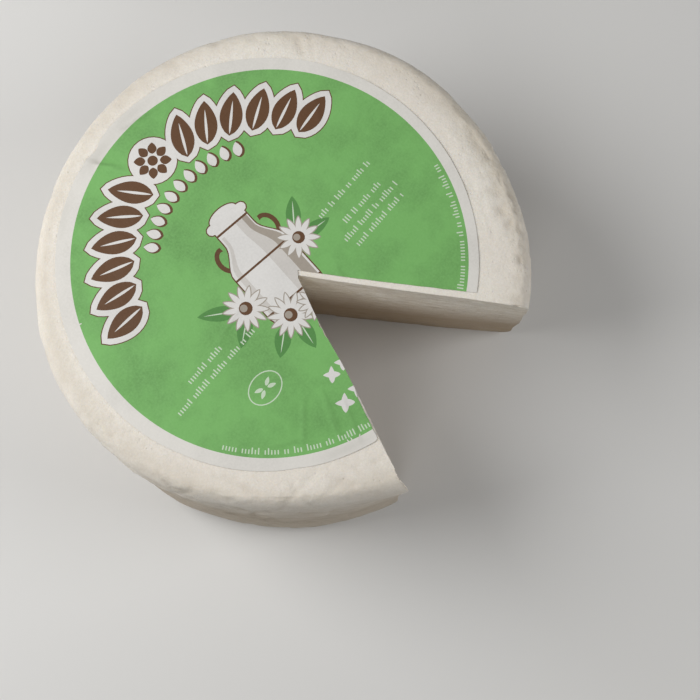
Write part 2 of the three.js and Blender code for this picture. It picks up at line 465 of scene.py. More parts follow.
# Soft folds and fine creases of the rim: start, end, half width, depth.
RIM_FOLDS = [
    ((72.7, 45.3), (79, 53.5), 1.7, 0.52), ((74.7, 41.2), (81.5, 49.5), 1.2, 0.28),
    ((-79, -33), (-76, -51), 1.5, 0.28), ((-82, -30), (-74, -56), 0.8, 0.16),
    ((-64, -55), (-70, -63), 1.6, 0.24), ((-55, -67), (-51, -77), 1.5, 0.32),
    ((-47, -68), (-46, -78), 1.1, 0.24), ((-39, -75), (-42, -85), 1.4, 0.2),
    ((67, -60.5), (61.5, -66), 0.5, 0.26), ((68.6, -61), (63.5, -66.5), 0.5, 0.2),
    ((71.5, -46), (66.5, -49.5), 0.6, 0.2), ((82, -29), (75, -33), 0.55, 0.18),
    ((80, -36), (74.5, -44), 0.5, 0.16), ((-88, 12), (-86, 24), 1.2, 0.16),
    ((-75, -59), (-54.8, -61.8), 1.3, 0.34), ((-73, -57), (-64, -57.6), 1, 0.2),
    ((-60.8, -69.5), (-50.6, -72), 1.2, 0.28), ((-56.4, -58.9), (-55, -62.4), 0.8, 0.3),
    ((-54.2, -62.8), (-51.4, -65.4), 0.7, 0.3), ((-49.2, -66.6), (-46.4, -68.9), 0.6, 0.24),
    ((-46.5, -71.5), (-43.2, -73.4), 0.6, 0.22), ((-77.2, -42), (-76.9, -50.5), 0.6, 0.14),
    ((-41.5, -76), (-34.5, -78.5), 0.9, 0.22),
]
# Dents in the shoulder: place, radius, depth.
SHOULDER_DENTS = [
    ((69.9, -56.6), 2.29, 0.76), ((68.3, -62.6), 2.43, 0.64), ((74.8, -50.9), 2.16, 0.576),
    ((59.2, -74.7), 2.29, 0.64), ((44.9, -83.7), 2.16, 0.528), ((86.8, -31.9), 3.1, 0.52),
    ((85, -38.2), 2.56, 0.488), ((56.5, 77.7), 2.4, 0.4),
]
# How far the rim slopes down outwards, and where it slopes more or less: middle angle, half width.
RIM_CROWN, RIM_SLOPE = 0.9, (84, 97)
RIM_FALLS = [(222, 38, 0.1), (-22, 20, 0.8), (-50, 14, -0.5)]
# The battered ring of the shoulder: its radius, half width and worst stretch.
BATTERED_RADIUS, BATTERED_WIDTH, BATTERED_STRETCH = 95, 4.5, (-38, 26)


def rim_relief(place, angle, radius, upright):
    """The top's outer rim: its slope, its folds and the battered shoulder."""
    fall = 1 + sum(more * window(angle, middle, width) for middle, width, more in RIM_FALLS)
    out = -RIM_CROWN * fall * smoothstep(radius, *RIM_SLOPE) * (1 - upright)
    for start, end, width, depth in RIM_FOLDS:
        out -= depth * stroke(place.x, place.y, start, end, width)
    for (x, y), width, depth in SHOULDER_DENTS:
        away = math.hypot(place.x - x, place.y - y)
        out -= depth * bump(away, width)
    battered = bump(radius - BATTERED_RADIUS, BATTERED_WIDTH)
    battered *= 0.3 + 0.7 * window(angle, *BATTERED_STRETCH)
    out -= 1.1 * battered * max(0, swell(place, 4.6, 9) - 0.02)
    out += 0.3 * battered * swell(place, 1.9, 10)
    along_rim = Vector((angle / 6.875, radius / 2.3, place.z / 2.3))
    out -= 0.2 * (0.3 + window(angle, -36, 24)) * ridges(along_rim, 1, 13)
    return out


def wall_creases(place, angle):
    """Creases that lie along the wall, left by the basket that the cheese drained in."""
    deep = 0.0
    for middle, width, height, rise, depth in CREASED:
        here = window(angle, middle, width) * bump(place.z - height, rise)
        deep += depth * here * (here > 0.02)
    warped = (place.z + 3 * swell(place, 13, 7)) / 8
    lying = Vector((*(7 * compass(angle)), warped))
    return deep * (0.6 * noise.noise(lying * 2.3) - ridges(lying, 1, 8))


def rind_relief(place, angle, radius, upright):
    """How far the rind stands out of its smooth form, upright being 1 on the wall."""
    soft = 0.5 + 0.5 * upright
    out = soft * (0.4 * swell(place, 34, 1) + 0.28 * swell(place, 15, 2))
    out += 0.12 * swell(place, 6, 3) + 0.05 * swell(place, 2.6, 4)
    out += soft * (dimple(place, 8, 0.4, 5, 0.35) + dimple(place, 3.8, 0.24, 6, 0.3))
    if place.z > WALL_TOP and radius > 80:
        out += rim_relief(place, angle, radius, upright)
    if radius > 92:
        out += wall_creases(place, angle)
    return out


def covered(x, y):
    """1 under the label and 0 clear of it."""
    return 1 - smoothstep(around_label((x, y))[0], LABEL_RADIUS - 1.5, LABEL_RADIUS + 2.5)


def knife_streaks(place, wide, high):
    """Noise drawn out along the knife's way, its streaks this wide and high."""
    return noise.noise(Vector((place.x / wide, place.y, place.z / high)))


def paste_relief(side, along, height):
    """How far the cut cheese stands out of the knife's face: drag streaks, tears and pits."""
    place = Vector((along, side * 200, height + 0.05 * along))
    out = 0.32 * knife_streaks(place, 19, 3.4)
    out += (0.12 + 0.22 * height / HEIGHT) * knife_streaks(place, 6.5, 1.7)
    out += 0.08 * swell(place, 2.2, 11)
    out -= 0.6 * max(0, knife_streaks(place, 7, 2.4) - 0.36)
    out += dimple(place, 3.4, 0.4, 12, 0.16)
    return out


# How far in the rind shades into the paste.
CRUST = 2.5
# Bites out of the cut's edges: side, distance out from the apex, height, radius, depth.
CHIPS = [
    (1, 12, 0, 4.5, 1.5), (1, 16, 1.5, 2.6, 1.2), (-1, 22, 96, 1, 0.5), (-1, 26, 96, 1.2, 0.5),
    (1, 99, 88, 1.6, 0.45), (-1, 62, 0, 3, 1), (-1, 103, 6, 4, 1.4), (1, 102, 4, 3, 1.1),
]


def skin_relief(place, normal):
    """How far any place of the round stands out of its smooth form."""
    radius = math.hypot(place.x, place.y)
    angle = float(heading(place))
    gap, side, along = wedge_gap(*place)
    edge, rind_share, out = max(0, gap), 1, 0
    if gap < WELD:
        inside_wall = outline_radius(plain_radius(place.z), angle, place.z) - radius
        edge = max(0, min(HEIGHT - place.z, place.z, inside_wall))
        rind_share = 1 - smoothstep(edge, 0, CRUST)
        out = paste_relief(side, along, place.z) * (1 - rind_share)
    if rind_share > 0:
        rind = rind_relief(place, angle, radius, 1 - abs(normal.z))
        if place.z > HEIGHT - WELD / 2:
            rind = lerp(rind, 0.3 * min(0, rind), covered(place.x, place.y))
        if place.z < WELD / 2:
            rind = 0.15 * rind - 0.15
        out += rind * rind_share
    if along > 1:
        ragged = 0.1 + 0.22 * max(0, swell(place, 2.3, 21))
        ragged += 0.3 * max(0, swell(place, 7, 22)) ** 2
        out -= ragged * bump(edge, 0.55)
    for chip_side, chip_along, chip_height, chip_radius, chip_depth in CHIPS:
        if chip_side == side and gap < chip_radius:
            away = math.hypot(along - chip_along, place.z - chip_height, gap)
            out -= chip_depth * max(0, 1 - (away / chip_radius) ** 2)
    return out


def relieved(mesh):
    """Gives the smooth form its dents, creases, streaks and worn edges, and notes their depth."""
    mesh.update()
    depth = [skin_relief(vertex.co, vertex.normal) for vertex in mesh.vertices]
    moved = [vertex.co + vertex.normal * out for vertex, out in zip(mesh.vertices, depth)]
    mesh.vertices.foreach_set("co", np.array(moved).ravel() * MM)
    attribute = mesh.attributes.new("relief", "FLOAT", "POINT")
    attribute.data.foreach_set("value", depth)
    mesh.update()


# ---- the label's print

LEAF_STEPS, BAR_STEPS = 12, 5


def rotated(points, centre, turn):
    cos, sin = compass(turn)
    return [(centre[0] + x * cos - y * sin, centre[1] + x * sin + y * cos) for x, y in points]


def ellipse(centre, across, high, steps=28):
    turns = [360 * i / steps for i in range(steps)]
    return [tuple(centre + compass(turn) * (across, high)) for turn in turns]


def circle(centre, radius, steps=28):
    return ellipse(centre, radius, radius, steps)


def leaf(base, tip, width, grow=0.0):
    """A pointed leaf, or the outline that keeps this far away from it."""
    base, tip = np.array(base, float), np.array(tip, float)
    way = (tip - base) / np.hypot(*(tip - base))
    base, tip = base - 1.1 * grow * way, tip + 1.3 * grow * way
    side = np.array([-way[1], way[0]]) * (width / 2 + grow)
    points = []
    for bend in SIDES:
        for i in range(LEAF_STEPS):
            share = i / LEAF_STEPS if bend > 0 else 1 - i / LEAF_STEPS
            swing = math.sin(math.pi * share**0.85) ** (0.65 if grow else 0.8)
            points.append(tuple(lerp(base, tip, share) + bend * swing * side))
    return points


def sliver(middle, reach, turn, width):
    """A leaf laid across its middle."""
    way = polar(reach, turn)
    return leaf(middle - way, middle + way, width)


def bar(start, end, thick):
    """A straight bar with round ends."""
    start, end = np.array(start, float), np.array(end, float)
    aim = heading(end - start)
    points = []
    for centre, first in ((end, aim - 90), (start, aim + 90)):
        turns = [first + 180 * i / BAR_STEPS for i in range(BAR_STEPS + 1)]
        points += [tuple(centre + polar(thick / 2, turn)) for turn in turns]
    return points


GARLAND_MIDDLE = 90
LEAVES_A_SIDE = 6
FIRST_LEAF, LAST_LEAF = 14, 64.5
GARLAND_INNER, GARLAND_OUTER = 53, 70.3
LEAF_WIDTH, LEAF_LEAN, VEIN_WIDTH = 9.2, 2.9, 1.1
FLOWER_RADIUS, FLOWER_HEART, FLOWER_PETALS, PETAL_WIDTH = 7.6, 2.1, 8, 3.7
WHITE_GROW, KEYLINE_GROW = 2.1, 2.5


def garland():
    """Brown leaves along the upper rim, on a white ground with a thin brown line round it."""
    leaves = []
    for side in SIDES:
        for away in np.linspace(FIRST_LEAF, LAST_LEAF, LEAVES_A_SIDE):
            base = polar(GARLAND_INNER, GARLAND_MIDDLE + side * (away - LEAF_LEAN))
            tip = polar(GARLAND_OUTER, GARLAND_MIDDLE + side * (away + LEAF_LEAN))
            leaves.append((base, tip))
    flower = polar((GARLAND_INNER + GARLAND_OUTER) / 2, GARLAND_MIDDLE)
    for grow, ink in ((KEYLINE_GROW, "brown"), (WHITE_GROW, "white")):
        for base, tip in leaves:
            yield ink, leaf(base, tip, LEAF_WIDTH, grow)
        yield ink, circle(flower, FLOWER_RADIUS + grow)
    for base, tip in leaves:
        yield "brown", leaf(base, tip, LEAF_WIDTH)
        yield "white", leaf(lerp(base, tip, 0.04), lerp(base, tip, 0.8), VEIN_WIDTH)
    for i in range(FLOWER_PETALS):
        way = compass(360 * i / FLOWER_PETALS)
        base, tip = flower + 1.35 * FLOWER_HEART * way, flower + FLOWER_RADIUS * way
        yield "brown", leaf(base, tip, PETAL_WIDTH)
    yield "brown", circle(flower, FLOWER_HEART)


DROPS, FIRST_DROP, LAST_DROP = 11, 125, 57
DROP_INNER, DROP_OUTER, DROP_WIDTH = 43.8, 49.8, 3.7
DROP_SHADOW, SHADOW_GROW = np.array([0.35, -0.45]), 0.45


def drops():
    """A row of white drops under the garland, each with a brown shadow."""
    for shift, grow, ink in ((DROP_SHADOW, SHADOW_GROW, "brown"), (0, 0, "white")):
        for angle in np.linspace(FIRST_DROP, LAST_DROP, DROPS):
            base, tip = polar(DROP_INNER, angle) + shift, polar(DROP_OUTER, angle) + shift
            yield ink, leaf(base, tip, DROP_WIDTH, grow)


CHURN_PLACE, CHURN_TURN = (-5, -20), -8
CHURN_HIGH, CHURN_WIDE, NECK_WIDE, LID_WIDE = 47, 27, 15, 19
LID_RISE = 4
CHURN_STEPS = 22
HANDLE_PLACE, HANDLE_REACH, HANDLE_RISE, HANDLE_THICK = (10.4, 31), 4.6, 6, 1.9
# Height and reach of the churn's hoops.
HOOPS = [(3.2, 13.3), (22, 13.4), (40.6, 7.4)]
HOOP_THICK = 0.9


def churn_outline(low, high, grow=0.0):
    """The churn's outline from one height to another, taken round both its sides."""
    side = []
    for height in np.linspace(low, high, CHURN_STEPS):
        share = height / CHURN_HIGH
        width = lerp(CHURN_WIDE, NECK_WIDE, float(smoothstep(share, 0.5, 0.76)))
        width -= 1.6 * (1 - float(smoothstep(share, 0, 0.05)))
        side.append((width / 2 + grow, height))
    return side + [(-x, y) for x, y in reversed(side)]


def churn_shade(low, high, outer, inner, side):
    """An upright band down one side of the churn, between two shares of its half width."""
    edge = [(side * x, y) for x, y in churn_outline(low, high) if x > 0]
    return [(x * outer, y) for x, y in edge] + [(x * inner, y) for x, y in reversed(edge)]


def churn_parts():
    """The churn's handles, body, lid, shades and hoops, before it is put in its place."""
    lid = CHURN_HIGH - LID_RISE
    for side in (-1, 1):
        ring = []
        for turns, thin in ((range(-110, 111, 16), 0), (range(110, -111, -16), HANDLE_THICK)):
            for turn in turns:
                step = compass(turn) * (HANDLE_REACH - thin, HANDLE_RISE - thin)
                ring.append((side * (HANDLE_PLACE[0] + step[0]), HANDLE_PLACE[1] + step[1]))
        yield "brown", ring
    for grow, ink in ((0.5, "brown"), (0, "white")):
        yield ink, churn_outline(-grow, lid, grow)
        reach = LID_WIDE / 2 - 2
        yield ink, bar((-reach, lid + 1), (reach, lid + 1), LID_RISE + 2 * grow)
        yield ink, ellipse((0, lid + 3), 6.5 + grow, 3 + grow)
    yield "pale_grey", churn_shade(1.5, lid - 2.5, 0.94, 0.2, 1)
    yield "grey", churn_shade(1.5, lid - 2.5, 0.94, 0.62, 1)
    yield "pale_grey", churn_shade(3, lid - 4, 0.9, 0.72, -1)
    for height, reach in HOOPS:
        yield "brown", bar((-reach, height), (reach, height), HOOP_THICK)


def churn():
    """A milk churn, standing where the print's picture goes."""
    for ink, points in churn_parts():
        yield ink, rotated(points, CHURN_PLACE, CHURN_TURN)


# Daisies round the churn: centre, radius, petals, turn.
DAISIES = [
    ((-21, -6), 9, 13, 5), ((14, -3), 8.4, 12, 12), ((-11.5, -21), 9, 13, 0),
    ((-1.5, -25), 7, 12, 8),
]
# Their leaves: base, tip, width.
SPRIGS = [
    ((-23, -5), (-36, 6), 6), ((-22, -8), (-34, -15), 6), ((-16, -22), (-27, -29), 6.5),
    ((15, 0), (25, 10), 6), ((15, -4), (28, -7), 5.5), ((-11, -24), (-15, -37), 6.5),
]


def daisies():
    """The daisies and their leaves, which lie over the churn."""
    for base, tip, width in SPRIGS:
        base, tip = np.array(base), np.array(tip)
        yield "leaf_green", leaf(base, tip, width)
        yield "pale", leaf(lerp(base, tip, 0.1), lerp(base, tip, 0.86), 0.5)
    for centre, radius, petals, turn in DAISIES:
        for grow, ink in ((0.4, "grey"), (0, "white")):
            for i in range(petals):
                way = compass(turn + 360 * i / petals)
                base, tip = centre + 0.2 * radius * way, centre + radius * way
                yield ink, leaf(base, tip, 3.1 * radius / petals, grow)
        yield "brown", circle(centre, 0.3 * radius, 18)
        yield "grey", circle(centre + 0.09 * radius * compass(130), 0.17 * radius, 14)


# Rows of plain ticks that stand for small print: middle and height of the row, and its length.
SMALL_PRINT = [
    (41.4, -4.2, 31), (41.9, -13, 22), (40.8, -18, 31), (40.6, -22.8, 27), (-46.8, -8.8, 20),
    (-46.1, -14, 45),
]
# Rows that follow the rim: radius, first and last angle.
RIM_PRINT = [(76, -152.5, -108.5), (76, -58.5, -19.5)]
TICK_WIDE, TICK_PITCH, WORD_GAP = 0.5, 1.25, 1.3
LOW_TICK, TALL_TICK = 1.7, 2.5
TICK_SEED = 7


def ticks(length, draw):
    """Places and heights of ticks in groups as long as short words, filling a length."""
    found, place = [], 0.0
    while place < length:
        for _ in range(draw.randint(2, 8)):
            if place < length:
                found.append((place, draw.choice((LOW_TICK, LOW_TICK, TALL_TICK))))
            place += TICK_PITCH
        place += WORD_GAP
    return found


def tick(foot, upright, high):
    """One upright tick of the small print."""
    aside = np.array([upright[1], -upright[0]]) * TICK_WIDE / 2
    top = foot + high * upright
    return [tuple(foot + aside), tuple(top + aside), tuple(top - aside), tuple(foot - aside)]


def small_print():
    """The rows of ticks, in groups of chance lengths."""
    draw = random.Random(TICK_SEED)
    for middle, height, length in SMALL_PRINT:
        for place, high in ticks(length, draw):
            foot = np.array([middle - length / 2 + place, height - LOW_TICK / 2])
            yield "pale", tick(foot, compass(90), high)
    for radius, first, last in RIM_PRINT:
        for place, high in ticks(radius * math.radians(last - first), draw):
            angle = first + math.degrees(place / radius)
            yield "pale", tick(polar(radius + LOW_TICK / 2, angle), -compass(angle), high)


STAMP_PLACE, STAMP_ACROSS, STAMP_HIGH, STAMP_LINE = (-39.6, -32.3), 7.6, 5.9, 0.45
STAMP_TURNS, STAMP_LEAF = (25, 155, 205, 335), (0.9, 4.6)


def stamp():
    """An oval ring with four small leaves in it."""
    for less, ink in ((0, "pale"), (STAMP_LINE, "green")):
        yield ink, ellipse(STAMP_PLACE, STAMP_ACROSS - less, STAMP_HIGH - less)
    for turn in STAMP_TURNS:
        base, tip = (STAMP_PLACE + polar(reach, turn) for reach in STAMP_LEAF)
        yield "pale", leaf(base, tip, 1.6)


# Rows of white lozenges at the foot of the print, most of them lost with the wedge: the first
# one's place, how many and their reach.
LOZENGES = [((-24, -59.5), 8, 3.9), ((-19, -48.5), 5, 3.4)]


def lozenges():
    """The rows of lozenges, each of two crossed leaves."""
    for first, count, reach in LOZENGES:
        for i in range(count):
            for turn in (45, 135):
                middle = np.array(first) + [1.9 * reach * i, 0]
                yield "white", sliver(middle, reach, turn, 0.75 * reach)


# Scuffs that have taken the ink off the green's edge: angle, length, turn.
SCUFFS = [(-116.2, 1.5, 20), (-115.1, 1.7, 10), (-112.6, 1.4, -40), (150, 1.4, 0)]


def scuffs():
    """Bare slivers at the green's edge."""
    for angle, length, turn in SCUFFS:
        middle = polar(PRINT_RADIUS - 0.3, angle)
        yield "bare", sliver(middle, length / 2, angle + turn, 0.45)


def print_shapes():
    """Every shape of the print, each with its ink, the later ones over the earlier ones."""
    shapes = [("green", circle((0, 0), PRINT_RADIUS, 150))]
    for layer in (garland, drops, churn, daisies, small_print, stamp, lozenges, scuffs):
        shapes += layer()
    return [(ink, np.array(rotated(points, PRINT_CENTRE, PRINT_TURN))) for ink, points in shapes]


# ---- the label's paper

PAPER_SPACING = 1.2
# The inks of the print, as tones from 0 to 255.
INK_COLOURS = {
    "bare": (221, 218, 211), "green": (121, 180, 102), "white": (221, 219, 215),
    "brown": (98, 68, 44), "grey": (163, 154, 142), "pale_grey": (204, 200, 194),
    "pale": (200, 217, 192), "leaf_green": (86, 140, 74),
}
INKS = list(INK_COLOURS)
# Where the paper is drawn in at its rim: angle round its centre, half width, depth.
PUCKERS = [(95, 3.1, 1.4), (101, 1.6, 0.5), (-134, 3, 0.35), (20, 5, 0.2), (196, 6, 0.2)]
# Sharp folds in the paper: start, end, height.
PAPER_CREASES = [
    ((-24.8, 0.8), (-40.8, -1), 0.1), ((12.5, -18.3), (9.6, -24.5), 0.08),
    ((-30, -44), (-41, -62), 0.14), ((-36, -40), (-52, -52), 0.11), ((-27, -52), (-37, -68), 0.09),
    ((-60, -42), (-50, -50), 0.08), ((-14, 86), (-8, 73), 0.16), ((3, 84), (19, 78), 0.1),
    ((52, 20), (66, 34), 0.06),
]
# Greyer patches of the paper, painted shade where it dips at its rim: angle and distance from its
# centre, half sizes, strength.
PAINTED_SHADE_PATCHES = [
    (81, 81, 8, 2.6, 0.3), (95, 80, 6, 2.6, 0.36), (115, 82, 6, 2, 0.25), (-120, 81, 8, 2, 0.3),
]


def label_rim(angle):
    """The paper's radius round its own centre."""
    radius = LABEL_RADIUS + 0.15 * noise.noise(Vector((angle / 9, 0, 7)))
    return radius - sum(depth * window(angle, middle, width) for middle, width, depth in PUCKERS)


def drawn_back(side, along):
    """How far the paper's cut edge lies back from the cheese's."""
    torn = 0.12 * noise.noise(Vector((along / 5, side * 9, 0)))
    if side > 0:
        return LABEL_SETBACK + LABEL_SETBACK_GROWTH * along + torn
    nicks = sum(bump(along - place, 0.9) for place in LABEL_NICKS)
    worn = 0.7 + 0.3 * noise.noise(Vector((along / 1.9, 4, 0)))
    return 0.1 + torn + 0.7 * nicks + worn * smoothstep(along, 50, 54)


def label_outline():
    """The paper's outline: out along one cut, round the rim and back along the other cut."""
    corner = cut_point(-1, 0, HEIGHT) + LABEL_SETBACK * into_cheese(1)
    sides, ends = {}, {}
    for side in SIDES:
        points = []
        for along in np.arange(0, TOP_SWELL_RADIUS, CUT_EDGE_SPACING):
            place = cut_point(side, along, HEIGHT, drawn_back(side, along))
            radius, ends[side] = around_label(place)
            if radius > label_rim(ends[side]):
                break
            if along > 0 and (place - corner) @ cut_direction(side) > CORNER_CLEARANCE:
                points.append(place)
        sides[side] = points
    rim = [
        LABEL_CENTRE + polar(label_rim(angle), angle)
        for angle in np.arange(ends[1], ends[-1] % 360, 1.0)
    ]
    return [corner, *sides[1], *rim, *sides[-1][::-1]]


def crease(x, y, start, end, width):
    """1 along a sharp fold that wanders a little, with a shallow trough of -0.4 beside it."""
    start, end, place = Vector((*start, 0)), Vector((*end, 0)), Vector((x, y, 0))
    way = end - start
    share = min(1, max(0, (place - start).dot(way) / way.length_squared))
    away = (place - start - share * way).length + 0.5 * swell(place, 5, 33)
    fade = min(1, 3 * min(share + 0.1, 1.1 - share))
    return fade * float(bump(away, width) - 0.4 * bump(away - 2.5 * width, 1.6 * width))


def paper_height(x, y):
    """How high the paper's face lies above the cheese's flat top."""
    place = Vector((x, y, 0))
    lift = 0.22 + 0.11 * swell(place, 24, 31) + 0.04 * swell(place, 9, 32)
    lift += 0.012 * swell(place, 3, 35)
    for start, end, high in PAPER_CREASES:
        lift += 1.3 * high * crease(x, y, start, end, 1)
    radius, angle = around_label((x, y))
    near_rim = smoothstep(radius, LABEL_RADIUS - 5, LABEL_RADIUS)
    lift += near_rim * (0.14 * window(angle, -30, 50) - 0.06 + 0.1 * max(0, swell(place, 14, 34)))
    for middle, width, depth in PUCKERS:
        lift += 0.16 * near_rim * depth * window(angle, middle + 1.5 * width, width)
        lift -= 0.06 * near_rim * depth * window(angle, middle - width, width)
    return max(0.02, lift)


def paper_painted_shade(x, y):
    """How grey the paper is: painted shade in patches where it dips at its rim and along its
    creases.
    """
    radius, angle = around_label((x, y))
    out = 0.0
    for middle, distance, turn, reach, strength in PAINTED_SHADE_PATCHES:
        out += strength * window(angle, middle, turn) * bump(radius - distance, reach)
    for start, end, high in PAPER_CREASES:
        out += 5 * high * max(0, crease(x, y, start, end, 0.8))
    return out


def inside_outline(points, outline):
    """Which of the points lie inside a closed outline."""
    inside = np.zeros(len(points), bool)
    x, y = points[:, 0], points[:, 1]
    for (x0, y0), (x1, y1) in zip(outline, np.roll(outline, -1, axis=0)):
        if y0 == y1:
            continue
        crosses = (y0 > y) != (y1 > y)
        inside ^= crosses & (x < (x1 - x0) * (y - y0) / (y1 - y0) + x0)
    return inside


def clear_of(points, others, distance):
    """Which of the points keep this far away from all the others."""
    tree = KDTree(len(others))
    for i, (x, y) in enumerate(others):
        tree.insert((x, y, 0), i)
    tree.balance()
    return np.array([tree.find((x, y, 0))[2] > distance for x, y in points])


def printed_faces(outline, shapes):
    """Triangles that fill the paper's outline, split along the print, and the ink of each."""
    points, edges = [], []
    for _, shape in shapes:
        first = len(outline) + len(points)
        points.extend(shape.tolist())
        edges += [(first + i, first + (i + 1) % len(shape)) for i in range(len(shape))]
    low, high = LABEL_CENTRE - LABEL_RADIUS, LABEL_CENTRE + LABEL_RADIUS
    grid = np.array(hexagonal(low, high, PAPER_SPACING))
    grid = grid[inside_outline(grid, np.array(outline))]
    grid = grid[clear_of(grid, [*outline, *points], 0.35 * PAPER_SPACING)]
    found, faces = triangulated(outline, points + grid.tolist(), edges)
    corners = np.array(faces)
    middles = found[corners].mean(axis=1)
    within = inside_outline(middles, np.array(outline))
    corners, middles = corners[within], middles[within]
    ink = np.zeros(len(corners), int)
    for name, shape in shapes:
        near = ((middles >= shape.min(axis=0)) & (middles <= shape.max(axis=0))).all(axis=1)
        near = np.flatnonzero(near)
        ink[near[inside_outline(middles[near], shape)]] = INKS.index(name)
    used, corners = np.unique(corners, return_inverse=True)
    return found[used], corners.reshape(-1, 3), ink


def label_piece():
    """The paper as one thin closed sheet whose faces carry the inks of the print."""
    found, corners, ink = printed_faces(label_outline(), print_shapes())
    heights = np.array([paper_height(x, y) for x, y in found])
    upper = np.column_stack([found, HEIGHT + heights + PAPER_THICKNESS])
    lower = np.column_stack([found, HEIGHT + heights])
    count = len(found)
    sides = {edge for a, b, c in corners.tolist() for edge in ((a, b), (b, c), (c, a))}
    walls = [(b, a, a + count, b + count) for a, b in sorted(sides) if (b, a) not in sides]
    mesh = bpy.data.meshes.new("printed_label")
    faces = corners.tolist() + (corners[:, ::-1] + count).tolist() + walls
    mesh.from_pydata((np.concatenate([upper, lower]) * MM).tolist(), [], faces)
    inks = np.concatenate([ink, np.full(len(ink) + len(walls), INKS.index("bare"))])
    mesh.polygons.foreach_set("material_index", inks.astype(np.int32))
    # Where shade is painted on the paper: its dips at the rim and its creases.
    painted_shade = mesh.attributes.new("painted_shade", "FLOAT", "POINT")
    painted_shade.data.foreach_set("value", 2 * [paper_painted_shade(x, y) for x, y in found])
    for name in INKS:
        mesh.materials.append(ink_material(name))
    mesh.shade_smooth()
    mesh.set_sharp_from_angle(angle=math.radians(50))
    placed("printed_label", mesh, "paper_label")


# ---- materials


def linear(red, green, blue):
    """A colour given as the eye reads it, 0 to 255, as the linear colour of a shader."""
    made = []
    for value in (red, green, blue):
        value = min(255, value) / 255
        made.append(value / 12.92 if value <= 0.04045 else ((value + 0.055) / 1.055) ** 2.4)
    return (*made, 1)


class Shader:
    """A material's node tree, with short calls to add to it."""

    def __init__(self, name):
        self.material = bpy.data.materials.new(name)
        self.material.use_nodes = True
        self.tree = self.material.node_tree
        self.surface = self.tree.nodes["Principled BSDF"].inputs
        self.place = self.add("TexCoord", "Object", {})

    def add(self, kind, output, sockets, **settings):
        """The output of a new node, with its sockets set or linked."""
        node = self.tree.nodes.new("ShaderNode" + kind)
        for name, value in settings.items():
            setattr(node, name, value)
        for name, value in sockets.items():
            if isinstance(value, bpy.types.NodeSocket):
                self.tree.links.new(value, node.inputs[name])
            else:
                node.inputs[name].default_value = value
        return node.outputs[output]

    def noise(self, size, detail=3, place=None, rough=0.5):
        """Noise from 0 to 1 whose features are this many millimetres wide."""
        pattern = {"Scale": 1 / (size * MM), "Detail": detail, "Roughness": rough}
        return self.add("TexNoise", "Fac", {"Vector": place or self.place, **pattern})

    def cells(self, size):
        """Distance from the nearest of scattered points that are this many millimetres apart."""
        sockets = {"Vector": self.place, "Scale": 1 / (size * MM)}
        return self.add("TexVoronoi", "Distance", sockets)

    def spread(self, value, low, high, most=1.0, least=0.0):
        """The value, drawn out from its range to this much and this little, and held there."""
        ends = {"From Min": low, "From Max": high, "To Min": least, "To Max": most}
        return self.add("MapRange", "Result", {"Value": value, **ends})

    def attribute(self, name):
        return self.add("Attribute", "Fac", {}, attribute_name=name)

    def below(self, high, low, most):
        """0 above the upper of two shares of the height, rising to this much at the lower one."""
        height = self.add("SeparateXYZ", "Z", {"Vector": self.place})
        return self.spread(height, high * HEIGHT * MM, low * HEIGHT * MM, most)

    def mix(self, share, first, second):
        """Between two tones, each a socket or a colour."""
        tones = [linear(*tone) if isinstance(tone, tuple) else tone for tone in (first, second)]
        sockets = {0: share, 6: tones[0], 7: tones[1]}
        return self.add("Mix", 2, sockets, data_type="RGBA")

    def sum(self, first, second):
        return self.add("Math", 0, {0: first, 1: second})

    def product(self, first, second):
        return self.add("Math", 0, {0: first, 1: second}, operation="MULTIPLY")

    def stretched(self, along_x, along_y, along_z):
        sockets = {"Vector": self.place, "Scale": (along_x, along_y, along_z)}
        return self.add("Mapping", "Vector", sockets)

    def link(self, name, socket):
        self.tree.links.new(socket, self.surface[name])

    def set(self, values):
        """Gives the surface these values all over."""
        for name, value in values.items():
            self.surface[name].default_value = value

    def roughness(self, size, least, most):
        """Slow patches between these two roughnesses."""
        self.link("Roughness", self.spread(self.noise(size), 0.3, 0.7, most, least))

    def relief(self, height, distance, strength):
        sockets = {"Height": height, "Distance": distance * MM, "Strength": strength}
        self.link("Normal", self.add("Bump", "Normal", sockets))


# The soft depth of fresh white cheese.
MILKY = {
    "Subsurface Weight": 0.12, "Subsurface Radius": (1, 0.8, 0.55),
    "Subsurface Scale": 2.5 * MM, "Specular IOR Level": 0.25,
}
# Tones, each from 0 to 255: the light and dark patches and the finest mottling.
RIND_TONES = [(237, 232, 222), (232, 225, 215), (219, 212, 199)]
PASTE_TONES = [(246, 241, 231), (240, 233, 221), (224, 214, 198)]
# Painted shade: the tone that every hollow of the relief is darkened towards, more the deeper it
# is.
HOLLOW_SHADE_TONE = (190, 178, 158)
SPECK_TONE = (158, 143, 120)
# The darker tone of the wall's level strata, and painted shade: the tone the wall turns darker and
# browner towards near its foot. The strata show only inside that painted shade.
STRATA_TONE, WALL_SHADE_TONE = (150, 135, 114), (170, 154, 132)
# The knife's streaks, and painted shade: the tone the cut face turns darker and browner towards
# near its foot.
STREAK_TONE, CUT_SHADE_TONE = (200, 187, 167), (160, 136, 106)


def mottled(shader, light, dark, spot):
    """Cream tones in slow patches and fine mottling, with painted shade darkening every hollow of
    the relief.
    """
    patches = shader.spread(shader.noise(40, 4), 0.36, 0.64)
    tone = shader.mix(patches, light, dark)
    fine = shader.spread(shader.noise(3.2, 5, rough=0.62), 0.42, 0.7, 0.4)
    tone = shader.mix(fine, tone, spot)
    speckle = shader.spread(shader.noise(0.8, 3, rough=0.7), 0.4, 0.7, 0.5)
    tone = shader.mix(speckle, tone, spot)
    # Painted shade in the hollows, from the depth of the relief.
    painted_hollow_shade = shader.spread(shader.attribute("relief"), -0.15, -1.5, 0.55)
    return shader.mix(painted_hollow_shade, tone, HOLLOW_SHADE_TONE)


